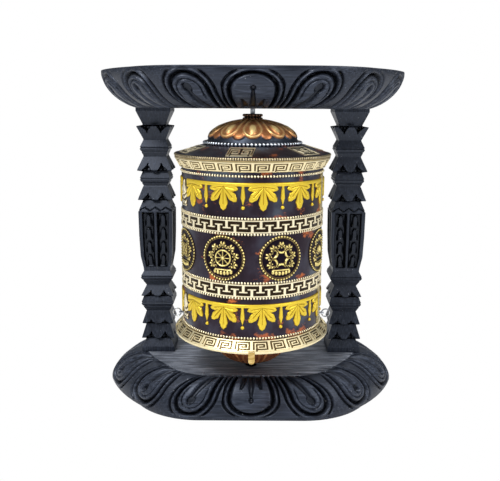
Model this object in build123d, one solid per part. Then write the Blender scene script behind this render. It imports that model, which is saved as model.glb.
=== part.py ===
"""Table prayer wheel: a copper drum on a steel spindle between two carved posts.

Millimetres. X runs along the boards, +Y goes to the back, +Z is up.
The origin is the middle of the base board's underside.
"""
import os
from math import asin, cos, radians, sin

from build123d import *

# ---------------------------------------------------------------- stand sizes
board_thickness = 26.5
board_half_depth = 74.0        # middle of the board to its straight front edge
board_straight_half = 36.0     # half of the straight part of the front edge
board_corner_run = 44.0        # from the straight part to where the side's curve starts, along X
board_corner_drop = 23.0       # and along Y
board_side_bulge = 3.6         # how far the side's curve stands outside its chord
board_tip_radius = 9.0
board_end_inset = 26.5         # how far the flat face stands in from the tip
board_front_inset = 15.0       # and from the straight front edge
board_edge_flat = 2.6          # upright band at the wide face
ovolo_power = 1.6              # shape of the rounded edge
ovolo_steps = 7

post_width = 25.2
carving_length = 184.5         # length of post that the carving's heights are given for
post_clearance = 2.1           # between the wheel's widest sweep and the posts

screw_shank_radius = 1.9
screw_head_radius = 3.8
screw_grip_in_post = 18.0
screw_sink = 1.0               # head below the board's face
screw_slot_width = 0.9
screw_slot_depth = 0.9
dowel_radius = 2.5
dowel_length = 20.0
dowel_offset = 6.0             # dowel from the post's middle, along Y
screw_offset = -4.5            # screw from the post's middle, along Y

# ---------------------------------------------------------------- wheel sizes
wheel_forward = 38.0           # the spindle stands this far in front of the posts
wheel_lift = 29.0              # from the base board to the wheel's rim
spindle_radius = 1.6
spindle_point_length = 2.2
running_clearance = 0.05
end_gap = 0.2

shell_radius = 48.7
shell_wall = 0.9
sheet = 0.8                    # thickness of the raised sheet metal
solder_gap = 0.02              # between a curved plate and the shell

bead_width = 1.7
bead_height = 0.85
band_height = 8.4
band_thickness = 0.7
rim_bead_gap = 0.35            # bare shell between the rim and the lowest beads
lower_field_height = 25.15
medallion_field_height = 30.0
upper_field_height = 24.95
cornice_bead_gap = 1.65        # bare shell between the highest beads and the cornice

rim_flare = 5.9                # how far the rim stands outside the shell
rim_height = 7.7
rim_lip = 1.6                  # upright lip at the rim's lower edge
floor_rise = 4.5               # floor above the rim's lower edge
floor_thickness = 0.9
under_dome_radius = 31.0
under_dome_depth = 28.1
under_dome_power = 2.0
under_collar_radius = 3.8
under_collar_height = 2.2

cornice_flare = 4.8            # how far the cornice stands outside the shell
cornice_height = 7.4
roll_height = 1.9              # rolled edge between lid and cornice
shoulder_rise = 5.5            # from the rolled edge up to the flange
flange_inset = 14.5            # flange's edge inside the shell's
flange_height = 1.6
flange_width = 5.2
flange_ledge = 2.8             # beaded part of the flange outside the dome
dome_height = 14.6
dome_power = 1.75
collar_radius = 7.0
collar_height = 4.2
patch_count = 6
patch_width = 17.0
patch_margin = 3.2             # bare metal above and below a lid patch
patch_thickness = 0.5
patch_first_angle = -100.0     # direction of the patch nearest the front
lid_seat_width = 2.1
lid_seat_height = 6.0
lid_seat_gap = 1.7             # shell stands this far under the cornice's top

medallion_count = 8
medallion_margin = 0.1         # between a medallion and the bead rows
medallion_thickness = 1.3
medallion_first_angle = -67.5

motif_count = 12
motif_first_angle = -142.0
motif_width = 24.0
motif_margin = 2.4             # bare shell above and below a motif
scroll_eye_radius = 2.6
smallest_offcut = 12.0         # cubic mm; smaller bits of a cut motif are left off
motif_bar = 3.4                # height of the motif's top bar
motif_thickness = 1.0
divider_width = 9.0
divider_margin = 2.9
divider_thickness = 1.1
divider_angles = (-157.0, 23.0)
trim_gap = 0.4                 # between ornaments side by side

seam_width = 3.6
seam_thickness = 0.9
seam_angle = -20.0

paper_gap = 7.8                # between the rolled paper and the shell
paper_bore_radius = 3.0
paper_floor_gap = 6.0
paper_length = 92.0
thread_thickness = 0.6
thread_width = 3.0             # a few turns side by side
thread_count = 3
washer_radius = 6.0
washer_thickness = 1.0

eye_rise = 2.2                 # from the lowest beads' middle to the eye
eye_stand_off = 0.5
eye_thickness = 0.8
eye_hole_radius = 0.78
eye_wall = 0.75
ring_wire_radius = 0.45
ring_radius = 2.8              # to the middle of the wire
tab_width = 4.2
tab_length = 8.0
tab_thickness = 0.8

rod_showing = 3.5              # between the lid's collar and the top board
cup_radius = 4.2
cup_depth = 9.0
cup_bore_depth = 4.6
bush_radius = 4.0
bush_length = 12.0
bush_bore_length = 9.5

# ---------------------------------------------------------------- worked out, from the base up
rim_bottom = board_thickness + wheel_lift
rim_top = rim_bottom + rim_height
shell_bottom = rim_bottom + floor_rise
rim_bead_z = rim_top + rim_bead_gap + bead_width / 2
lower_band_bottom = rim_bead_z + bead_width / 2 + lower_field_height + bead_width
medallion_z = lower_band_bottom + band_height + bead_width + medallion_field_height / 2
upper_band_bottom = medallion_z + medallion_field_height / 2 + bead_width
cornice_bead_z = upper_band_bottom + band_height + bead_width + upper_field_height + bead_width / 2
cornice_bottom = cornice_bead_z + bead_width / 2 + cornice_bead_gap
cornice_top = cornice_bottom + cornice_height
shell_top = cornice_top - lid_seat_gap
flange_z = cornice_top + roll_height + shoulder_rise
dome_foot_z = flange_z + flange_height
dome_top = dome_foot_z + dome_height
collar_top = dome_top + collar_height
post_top = collar_top + rod_showing
post_length = post_top - board_thickness
stand_top = post_top + board_thickness

rim_radius = shell_radius + rim_flare
cornice_radius = shell_radius + cornice_flare
flange_radius = shell_radius - flange_inset
dome_foot_radius = flange_radius - flange_ledge
medallion_radius = medallion_field_height / 2 - medallion_margin
motif_height = min(lower_field_height, upper_field_height) - 2 * motif_margin
divider_height = min(lower_field_height, upper_field_height) - 2 * divider_margin
paper_radius = shell_radius - shell_wall - paper_gap
bead_radius_out = shell_radius + bead_height
under_dome_bottom = shell_bottom - floor_thickness - under_dome_depth
spindle_bottom = board_thickness - cup_bore_depth + end_gap
spindle_top = post_top + bush_bore_length - end_gap
eye_z = rim_bead_z + eye_rise
hinge_reach = shell_radius + eye_stand_off + eye_wall + eye_hole_radius
wheel_reach = hinge_reach + 2 * ring_radius + ring_wire_radius

post_half = post_width / 2
post_x = wheel_reach + post_clearance + post_half
board_half_length = post_x + post_half + board_end_inset
board_shoulder_x = board_straight_half + board_corner_run
board_shoulder_y = board_half_depth - board_corner_drop
AXIS = Pos(0, -wheel_forward, 0)

os.makedirs("parts", exist_ok=True)


# ---------------------------------------------------------------- helpers
def turned(points):
    """A solid of revolution about Z from (radius, height) corners."""
    face = make_face(Polyline(*[(r, 0, z) for r, z in points], close=True))
    return revolve(face, Axis.Z)


def tube(outer, inner, bottom, top):
    return turned([(inner, bottom), (outer, bottom), (outer, top), (inner, top)])


def rod(radius, bottom, top):
    return Pos(0, 0, (bottom + top) / 2) * Cylinder(radius, top - bottom)


def around(solid, angle):
    """Turn a piece that points along +X to an angle about Z."""
    return Rot(0, 0, angle) * solid


def save(node, shape):
    export_step(shape, "parts/" + node + ".step")


# ---------------------------------------------------------------- boards
def board_outline(half_length, half_depth, z):
    """Straight front and back, curved corners and soft points at both ends."""
    kx = half_length / board_half_length
    ky = half_depth / board_half_depth
    front_corner = (board_straight_half, board_half_depth)
    shoulder = (board_shoulder_x, board_shoulder_y)
    tip = (board_half_length, 0)
    corner_run = board_shoulder_x - board_straight_half
    corner_drop = board_half_depth - board_shoulder_y
    corner_radius = (corner_run ** 2 + corner_drop ** 2) / (2 * corner_drop)
    half_turn = asin(corner_run / corner_radius) / 2
    corner_mid = (board_straight_half + corner_radius * sin(half_turn),
                  board_half_depth - corner_radius * (1 - cos(half_turn)))
    side_run = board_half_length - board_shoulder_x
    side_length = (side_run ** 2 + board_shoulder_y ** 2) ** 0.5
    bulge = board_side_bulge / side_length
    side_mid = ((board_shoulder_x + board_half_length) / 2 + bulge * board_shoulder_y,
                board_shoulder_y / 2 + bulge * side_run)

    def at(point, sx, sy):
        return (sx * kx * point[0], sy * ky * point[1])

    edges = []
    for sx, sy in ((1, -1), (1, 1), (-1, 1), (-1, -1)):
        corner = ThreePointArc(at(front_corner, sx, sy), at(corner_mid, sx, sy), at(shoulder, sx, sy))
        side = ThreePointArc(at(shoulder, sx, sy), at(side_mid, sx, sy), at(tip, sx, sy))
        edges += [corner, side]
    for sy in (-1, 1):
        edges.append(Line(at(front_corner, -1, sy), at(front_corner, 1, sy)))
    face = make_face(edges)
    tips = face.vertices().sort_by(Axis.X)
    face = fillet([tips[0], tips[-1]], board_tip_radius * kx)
    return Pos(0, 0, z) * face


def ovolo_board():
    """A board with a quarter-round edge that narrows towards +Z."""
    curve_height = board_thickness - board_edge_flat
    sections = [board_outline(board_half_length, board_half_depth, 0)]
    for step in range(ovolo_steps + 1):
        angle = radians(90 * step / ovolo_steps)
        rise = sin(angle) ** (2 / ovolo_power)
        inset = 1 - cos(angle) ** (2 / ovolo_power)
        sections.append(board_outline(board_half_length - board_end_inset * inset,
                                      board_half_depth - board_front_inset * inset,
                                      board_edge_flat + curve_height * rise))
    return loft(sections, ruled=True)


def screw_hole():
    """Hole for a countersunk screw that enters at z = 0 and runs up."""
    head = screw_head_radius - screw_shank_radius
    return turned([(0, -1), (screw_head_radius, -1), (screw_head_radius, screw_sink),
                   (screw_shank_radius, screw_sink + head), (screw_shank_radius, board_thickness + 1),
                   (0, board_thickness + 1)])


def wood_screw():
    """Countersunk screw with its head at z = screw_sink and its point up."""
    head = screw_head_radius - screw_shank_radius
    end = board_thickness + screw_grip_in_post
    body = turned([(0, screw_sink), (screw_head_radius, screw_sink), (screw_shank_radius, screw_sink + head),
                   (screw_shank_radius, end - screw_shank_radius * 2), (0, end)])
    slot = Pos(0, 0, screw_sink) * Box(screw_head_radius * 3, screw_slot_width, screw_slot_depth * 2)
    return body - slot


def drilled_board(bearing_radius, bearing_depth):
    """Ovolo board with its screw, dowel and bearing holes, seen as the base."""
    board = ovolo_board()
    for x in (-post_x, post_x):
        board -= Pos(x, screw_offset, 0) * screw_hole()
        dowel_bottom = board_thickness - dowel_length / 2
        board -= Pos(x, dowel_offset, 0) * rod(dowel_radius, dowel_bottom, board_thickness + 1)
    board -= AXIS * rod(bearing_radius, board_thickness - bearing_depth, board_thickness + 1)
    return board


def turn_over(shape):
    """The base's shape turned over to be the top board."""
    return Pos(0, 0, stand_top) * (Rot(180, 0, 0) * (mirror(shape, Plane.XZ)))


# ---------------------------------------------------------------- posts
def post_profile():
    """(height, half width) corners of the carved post, from its foot up."""
    w = post_half
    corners = [
        (0.0, w), (3.7, w - 0.25), (9.9, w - 3.2), (10.9, w - 0.2),
        (11.5, w - 0.2), (21.4, w - 3.3), (22.5, w - 0.8), (23.0, w - 0.8),
        (31.4, w - 3.6), (31.9, w - 3.8), (38.7, w - 0.2), (43.9, w - 2.2),
        (44.3, w - 0.6), (44.9, w - 0.6), (51.7, w - 4.0), (52.3, w - 4.2),
        (59.1, w - 0.2), (63.6, w - 2.7), (65.9, w - 2.5), (75.3, w - 0.8),
        (90.9, w - 0.2), (109.2, w), (117.3, w - 3.3), (117.8, w),
        (118.3, w), (127.5, w - 3.5), (128.1, w - 3.9), (133.1, w - 1.3),
        (138.5, w - 3.4), (139.4, w), (140.1, w), (149.5, w - 4.2),
        (150.3, w - 4.2), (155.7, w - 1.7), (161.5, w - 4.4), (162.2, w - 4.4),
        (171.6, w), (172.3, w - 4.1), (173.0, w - 4.1), (182.4, w),
        (carving_length, w),
    ]
    return [(height * post_length / carving_length, half) for height, half in corners]


def bare_post():
    """Square carved post: the same outline seen from the front and the side."""
    right = [(half, z) for z, half in post_profile()]
    left = [(-half, z) for half, z in reversed(right)]
    outline = make_face(Polyline(*[(x, 0, z) for x, z in right + left], close=True))
    front = extrude(outline, amount=post_width, dir=(0, 1, 0), both=True)
    side = Rot(0, 0, 90) * front
    return front & side


def post(x):
    body = Pos(x, 0, board_thickness) * bare_post()
    start = board_thickness - 1
    hole = Pos(x, screw_offset, 0) * rod(screw_shank_radius, start, board_thickness + screw_grip_in_post)
    peg = Pos(x, dowel_offset, 0) * rod(dowel_radius, start, board_thickness + dowel_length / 2)
    for cut in (hole, peg, turn_over(hole), turn_over(peg)):
        body -= cut
    return body


def stand():
    save("base_board", drilled_board(cup_radius, cup_depth))
    save("top_board", turn_over(drilled_board(bush_radius, bush_length)))
    save("left_post", post(-post_x))
    save("right_post", post(post_x))
    screws = [Pos(x, screw_offset, 0) * wood_screw() for x in (-post_x, post_x)]
    save("base_screws", Compound(children=screws))
    save("top_screws", Compound(children=[turn_over(screw) for screw in screws]))
    dowel_bottom = board_thickness - dowel_length / 2
    dowel = rod(dowel_radius, dowel_bottom, dowel_bottom + dowel_length)
    dowels = [Pos(x, dowel_offset, 0) * dowel for x in (-post_x, post_x)]
    save("base_dowels", Compound(children=dowels))
    save("top_dowels", Compound(children=[turn_over(dowel) for dowel in dowels]))


# ---------------------------------------------------------------- bearings
def bearings():
    """Footstep cup in the base and plain bush in the top board."""
    bore = spindle_radius + running_clearance
    bore_floor = board_thickness - cup_bore_depth
    cup = turned([(0, board_thickness - cup_depth), (cup_radius, board_thickness - cup_depth),
                  (cup_radius, board_thickness), (bore, board_thickness),
                  (bore, bore_floor + spindle_point_length), (0, bore_floor)])
    save("pivot_cup", AXIS * cup)
    bush = turned([(bore, post_top), (bush_radius, post_top), (bush_radius, post_top + bush_length),
                   (0, post_top + bush_length), (0, post_top + bush_bore_length),
                   (bore, post_top + bush_bore_length)])
    save("top_bush", AXIS * bush)


# ---------------------------------------------------------------- spindle and inner pieces
def spindle():
    point = spindle_bottom + spindle_point_length
    shaft = turned([(0, spindle_bottom), (spindle_radius, point),
                    (spindle_radius, spindle_top), (0, spindle_top)])
    save("spindle", AXIS * shaft)


def inner_pieces():
    """Rolled paper, its tying threads and the washers that centre it."""
    bottom = shell_bottom + paper_floor_gap
    save("prayer_roll", AXIS * tube(paper_radius, paper_bore_radius, bottom, bottom + paper_length))
    threads = []
    for index in range(thread_count):
        z = bottom + paper_length * (index + 0.5) / thread_count
        winding = tube(paper_radius + thread_thickness, paper_radius, z, z + thread_width)
        threads.append(AXIS * winding)
    save("roll_threads", Compound(children=threads))
    washers = [AXIS * tube(washer_radius, spindle_radius, z, z + washer_thickness)
               for z in (bottom - washer_thickness, bottom + paper_length)]
    save("roll_washers", Compound(children=washers))


# ---------------------------------------------------------------- drum
def drum():
    shell = tube(shell_radius, shell_radius - shell_wall, shell_bottom, shell_top)
    save("drum_shell", AXIS * shell)
    floor = tube(shell_radius, spindle_radius, shell_bottom - floor_thickness, shell_bottom)
    save("drum_floor", AXIS * floor)



def bead_ring(z):
    """Half-round ring soldered to the shell, centred at height z."""
    half = bead_width / 2
    flat = Line((shell_radius, 0, z + half), (shell_radius, 0, z - half))
    crown = ThreePointArc((shell_radius, 0, z - half), (bead_radius_out, 0, z), (shell_radius, 0, z + half))
    return revolve(make_face([flat, crown]), Axis.Z)


def bead_levels():
    half = bead_width / 2
    return {
        "cornice_beads": cornice_bead_z,
        "upper_band_top_beads": upper_band_bottom + band_height + half,
        "upper_band_foot_beads": upper_band_bottom - half,
        "lower_band_top_beads": lower_band_bottom + band_height + half,
        "lower_band_foot_beads": lower_band_bottom - half,
        "rim_beads": rim_bead_z,
    }


def bands():
    """Bead rings and the plain strips that carry the frets."""
    rings = {name: bead_ring(z) for name, z in bead_levels().items()}
    for name, bottom in (("upper_fret_band", upper_band_bottom), ("lower_fret_band", lower_band_bottom)):
        rings[name] = tube(shell_radius + band_thickness, shell_radius, bottom, bottom + band_height)
    for name, ring in rings.items():
        save(name, AXIS * ring)


# ---------------------------------------------------------------- medallions and ornaments
def on_skin(flat, thickness, z):
    """Lay a flat outline in the YZ plane on the shell, at height z, facing +X."""
    block = Pos(0, 0, z) * extrude(Plane.YZ * flat, amount=shell_radius * 2)
    skin = tube(shell_radius + thickness, shell_radius + solder_gap, z - motif_width, z + motif_width)
    return skin & block


def medallions():
    disc = on_skin(Circle(medallion_radius), medallion_thickness, medallion_z)
    for index in range(medallion_count):
        angle = medallion_first_angle + 360 * index / medallion_count
        save("medallion_" + str(index + 1), AXIS * around(disc, angle))


def motif_outline():
    """Scrolled drop: a top bar, two round scroll eyes and a tapering drop."""
    w = motif_width / 2
    h = motif_height / 2
    bar = Pos(0, h - motif_bar / 2) * Rectangle(motif_width, motif_bar)
    drop = make_face(Polyline((-w / 5, h - motif_bar / 2), (w / 5, h - motif_bar / 2), (0, -h), close=True))
    shape = bar + drop
    for side in (-1, 1):
        shape += Pos(side * w * 0.6, h - motif_bar - scroll_eye_radius * 0.8) * Circle(scroll_eye_radius)
    return shape


def divider_outline():
    return Ellipse(divider_width / 2, divider_height / 2)


def fields():
    """Foot and top of the two plain fields that carry the ornaments."""
    return {
        "upper": (cornice_bead_z - bead_width / 2 - upper_field_height, cornice_bead_z - bead_width / 2),
        "lower": (rim_bead_z + bead_width / 2, rim_bead_z + bead_width / 2 + lower_field_height),
    }


def beside(z, width, angle):
    """Room for an upright piece of that width between the motifs."""
    room = Box(shell_radius / 2, width + 2 * trim_gap, motif_width * 2)
    return around(Pos(shell_radius, 0, z) * room, angle)


def ornaments():
    """Scrolls, dividers and the strip over the seam, in both fields."""
    strips = []
    for field, (foot, top) in fields().items():
        z = (foot + top) / 2
        strips.append(around(on_skin(Rectangle(seam_width, top - foot), seam_thickness, z), seam_angle))
        motif = on_skin(motif_outline(), motif_thickness, z)
        divider = on_skin(divider_outline(), divider_thickness, z)
        clear = beside(z, seam_width, seam_angle)
        pieces = []
        for index in range(motif_count):
            piece = around(motif, motif_first_angle + 360 * index / motif_count)
            piece -= clear
            for angle in divider_angles:
                piece -= beside(z, divider_width, angle)
            pieces += [solid for solid in piece.solids() if solid.volume > smallest_offcut]
        save(field + "_scrolls", AXIS * Compound(children=pieces))
        dividers = [around(divider, angle) for angle in divider_angles]
        save(field + "_dividers", AXIS * Compound(children=dividers))
    save("seam_strips", AXIS * Compound(children=strips))


# ---------------------------------------------------------------- lid
def dome_profile(foot_radius, height, power, steps=9):
    """(radius, rise) points of a dome, from its foot to its crown."""
    points = []
    for step in range(steps + 1):
        angle = radians(90 * step / steps)
        points.append((foot_radius * cos(angle) ** (2 / power), height * sin(angle) ** (2 / power)))
    return points


def dome_shell(foot_radius, height, power, foot_z, up, bore):
    """A raised sheet dome with a hole of radius bore at its crown."""
    outer = [(r, rise) for r, rise in dome_profile(foot_radius, height, power) if r > bore + sheet]
    outer.append((bore + sheet / 2, height))
    inner = [(max(r - sheet, bore), max(rise - sheet, 0)) for r, rise in outer]
    inner[-1] = (bore, height - sheet)
    outer.append((bore, height))
    loop = outer + inner[::-1]
    return turned([(r, foot_z + up * rise) for r, rise in loop])


def lid():
    """Shoulder, flange, lotus dome, collar, rolled edge and fretted cornice."""
    roll_top = cornice_top + roll_height
    slope_end = cornice_radius - sheet
    slope_start = flange_radius - flange_width
    shoulder = turned([(slope_start, flange_z), (flange_radius, flange_z), (slope_end, roll_top),
                       (slope_end, roll_top - sheet), (slope_start, flange_z - sheet)])
    save("lid_shoulder", AXIS * shoulder)

    flange = tube(flange_radius, slope_start, flange_z, flange_z + flange_height)
    save("lid_flange", AXIS * flange)
    dome = dome_shell(dome_foot_radius, dome_height, dome_power, dome_foot_z, 1, spindle_radius)
    save("lid_dome", AXIS * dome)
    collar = tube(collar_radius, spindle_radius, dome_top, dome_top + collar_height)
    save("lid_collar", AXIS * collar)

    edge = cornice_radius - 3 * sheet
    bulge = cornice_radius + sheet / 2
    roll = turned([(edge, cornice_top), (cornice_radius, cornice_top), (bulge, cornice_top + roll_height / 2),
                   (cornice_radius, roll_top), (slope_end, roll_top),
                   (slope_end, roll_top - sheet), (edge, roll_top - sheet)])
    save("lid_rolled_edge", AXIS * roll)
    cornice = turned([(shell_radius, cornice_bottom), (shell_radius + sheet, cornice_bottom),
                      (cornice_radius, cornice_top - sheet), (cornice_radius, cornice_top),
                      (shell_radius, cornice_top), (shell_radius, cornice_top - sheet),
                      (cornice_radius - 3 * sheet, cornice_top - sheet),
                      (shell_radius, cornice_bottom + 1.5 * sheet)])
    save("lid_cornice", AXIS * cornice)
    seat_radius = shell_radius - shell_wall
    seat = tube(seat_radius, seat_radius - lid_seat_width, cornice_top - lid_seat_height, cornice_top)
    save("lid_seat_ring", AXIS * seat)


def lid_patches():
    """Thin brass plates laid on the sloping shoulder."""
    run = cornice_radius - sheet - flange_radius
    drop = shoulder_rise

    def on_slope(distance):
        return (flange_radius + distance, flange_z - drop * distance / run)

    top = on_slope(patch_margin)
    foot = on_slope(run - patch_margin)
    ring = turned([top, foot, (foot[0], foot[1] + patch_thickness), (top[0], top[1] + patch_thickness)])
    block = Pos(cornice_radius, 0, flange_z) * Box(2 * cornice_radius, patch_width, 2 * flange_z)
    patch = ring & block
    patches = [AXIS * around(patch, patch_first_angle + 360 * index / patch_count)
               for index in range(patch_count)]
    save("lid_patches", Compound(children=patches))


# ---------------------------------------------------------------- lower end
def lower_end():
    """Flared rim, lotus dome under the floor, its collar and the front tab."""
    rim = turned([(shell_radius, rim_top - sheet), (shell_radius, rim_top), (shell_radius + sheet, rim_top),
                  (rim_radius, rim_bottom + rim_lip), (rim_radius, rim_bottom),
                  (rim_radius - sheet, rim_bottom), (rim_radius - sheet, rim_bottom + rim_lip - sheet / 4)])
    save("lower_rim", AXIS * rim)
    foot = shell_bottom - floor_thickness
    dome = dome_shell(under_dome_radius, under_dome_depth, under_dome_power, foot, -1, spindle_radius)
    save("floor_dome", AXIS * dome)
    collar = tube(under_collar_radius, spindle_radius,
                  under_dome_bottom - under_collar_height, under_dome_bottom)
    save("floor_collar", AXIS * collar)
    outer = rim_radius + tab_thickness
    blade = Pos(0, -(rim_radius + tab_thickness / 2), rim_bottom + rim_lip - tab_length / 2)
    tab = blade * Box(tab_width, tab_thickness, tab_length)
    bottom_edges = tab.edges().filter_by(Axis.Y).sort_by(Axis.Z)[:2]
    tab = fillet(bottom_edges, tab_width / 2 - 0.05)
    tab -= rod(rim_radius, 0, stand_top)
    save("front_tab", AXIS * (tab & rod(outer, 0, stand_top)))


def pull_rings():
    """Eyes on both sides of the drum, and the small wire rings in them."""
    reach = hinge_reach - shell_radius + eye_wall
    width = 2 * (eye_hole_radius + eye_wall)
    lug = Pos(hinge_reach - reach / 2, 0, eye_z) * Box(reach, width, eye_thickness)
    lug += Pos(hinge_reach, 0, eye_z) * Cylinder(width / 2, eye_thickness)
    lug -= Pos(hinge_reach, 0, eye_z) * Cylinder(eye_hole_radius, eye_thickness * 3)
    lug -= rod(shell_radius, 0, stand_top)
    ring = Pos(hinge_reach + ring_radius, 0, eye_z) * (Rot(90, 0, 0) * Torus(ring_radius, ring_wire_radius))
    for side, angle in (("left", 180), ("right", 0)):
        save(side + "_eye", AXIS * around(lug, angle))
        save(side + "_ring", AXIS * around(ring, angle))


stand()
bearings()
spindle()
inner_pieces()
drum()
bands()
medallions()
ornaments()
lid()
lid_patches()
lower_end()
pull_rings()
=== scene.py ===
from math import atan2, cos, hypot, pi, radians, sin, sqrt

import bmesh
import bpy
import numpy as np
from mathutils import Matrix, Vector
from mathutils.geometry import delaunay_2d_cdt


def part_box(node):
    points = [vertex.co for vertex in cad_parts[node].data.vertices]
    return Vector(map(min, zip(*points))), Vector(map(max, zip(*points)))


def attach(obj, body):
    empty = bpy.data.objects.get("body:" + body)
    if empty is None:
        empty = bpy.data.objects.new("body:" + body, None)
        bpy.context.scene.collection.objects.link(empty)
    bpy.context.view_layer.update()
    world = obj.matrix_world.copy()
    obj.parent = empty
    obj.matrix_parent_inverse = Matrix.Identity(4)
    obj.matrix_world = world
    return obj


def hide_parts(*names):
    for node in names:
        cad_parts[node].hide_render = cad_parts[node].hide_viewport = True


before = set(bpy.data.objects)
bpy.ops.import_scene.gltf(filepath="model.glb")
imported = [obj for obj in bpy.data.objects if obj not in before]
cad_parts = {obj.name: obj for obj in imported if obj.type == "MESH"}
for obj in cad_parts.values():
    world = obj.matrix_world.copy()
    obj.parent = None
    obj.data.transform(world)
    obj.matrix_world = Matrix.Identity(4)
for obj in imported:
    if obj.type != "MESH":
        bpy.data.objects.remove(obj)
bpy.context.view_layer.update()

MM = 0.001


# ---------------------------------------------------------------- sizes, in millimetres
def node_box(node):
    low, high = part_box(node)
    return np.array(low) / MM, np.array(high) / MM


def radius_of(node):
    low, high = node_box(node)
    return (high[0] - low[0]) / 2


spindle_low, spindle_high = node_box("spindle")
AXIS_X = (spindle_low[0] + spindle_high[0]) / 2
AXIS_Y = (spindle_low[1] + spindle_high[1]) / 2
SHELL = radius_of("drum_shell")
base_low, base_high = node_box("base_board")
top_low, top_high = node_box("top_board")
HALF_LENGTH = 110.7            # to the sharp corner that the rounded tip is cut from
HALF_DEPTH = base_high[1]
THICK = base_high[2] - base_low[2]
STRAIGHT_HALF = 36.0
SHOULDER = (80.0, 51.0)
SIDE_BULGE = 3.6
TIP_ROUND = 5.0
END_INSET = 26.5
FRONT_INSET = 15.0
EDGE_FLAT = 2.6
OVOLO = 1.6
FRONT = -90.0                  # direction of the wheel's front, degrees about Z
DIVIDER_ANGLES = (-157.0, 23.0)
DIVIDER_WIDTH = 9.0
DIVIDER_LIFT = 1.1             # height above the shell
SEAM_ANGLE = -20.0
SEAM_WIDTH = 3.6
MOTIFS = 12
MOTIF_FIRST = -142.0
MOTIF_HALF = pi * SHELL / MOTIFS
PATCHES = 6
PATCH_FIRST = -100.0
MEDALLIONS = 8
MEDALLION_LIFT = 1.25
PETALS = 14                    # round each board
PETAL_PITCH = 41.7             # petal_carving is drawn for petals this far apart
CARVED_HEIGHT = 33.0           # measured up the curved edge of a board
HOLE_DEPTH = 3.0
HOLE_SIDES = 32
BOARD_SHARP_ANGLE = 42         # degrees; edges steeper than this stay crisp
CAMERA_PITCH = 11.5            # degrees down
CAMERA_ROLL = -0.35            # degrees


# ---------------------------------------------------------------- materials
def linear(code):
    """sRGB hex to linear RGBA."""
    values = [int(code[i:i + 2], 16) / 255 for i in (0, 2, 4)]
    return [v / 12.92 if v <= 0.04045 else ((v + 0.055) / 1.055) ** 2.4 for v in values] + [1.0]


def socket(sockets, key):
    """A socket by number, or the usable one by name."""
    if isinstance(key, int):
        return sockets[key]
    return next(found for found in sockets if found.name == key and found.enabled)


def node(tree, kind, settings=None, links=None):
    """Add a node; settings name its own values or inputs, links give inputs their source."""
    new = tree.nodes.new(kind)
    for key, value in (settings or {}).items():
        if isinstance(key, str) and key in new.bl_rna.properties:
            setattr(new, key, value)
        else:
            socket(new.inputs, key).default_value = value
    for key, (source, output) in (links or {}).items():
        tree.links.new(socket(source.outputs, output), socket(new.inputs, key))
    return new


def ramp(tree, source, output, stops):
    """Colour ramp from (position, hex) stops."""
    new = node(tree, "ShaderNodeValToRGB", links={"Fac": (source, output)})
    elements = new.color_ramp.elements
    while len(elements) < len(stops):
        elements.new(0.5)
    for element, (place, code) in zip(elements, stops):
        element.position = place
        element.color = linear(code)
    return new


def new_material(name):
    material = bpy.data.materials.new(name)
    material.use_nodes = True
    tree = material.node_tree
    return material, tree, tree.nodes["Principled BSDF"]


def mapped(tree, scale):
    place = node(tree, "ShaderNodeTexCoord")
    return node(tree, "ShaderNodeMapping", {"Scale": scale}, {"Vector": (place, "Object")})


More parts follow.
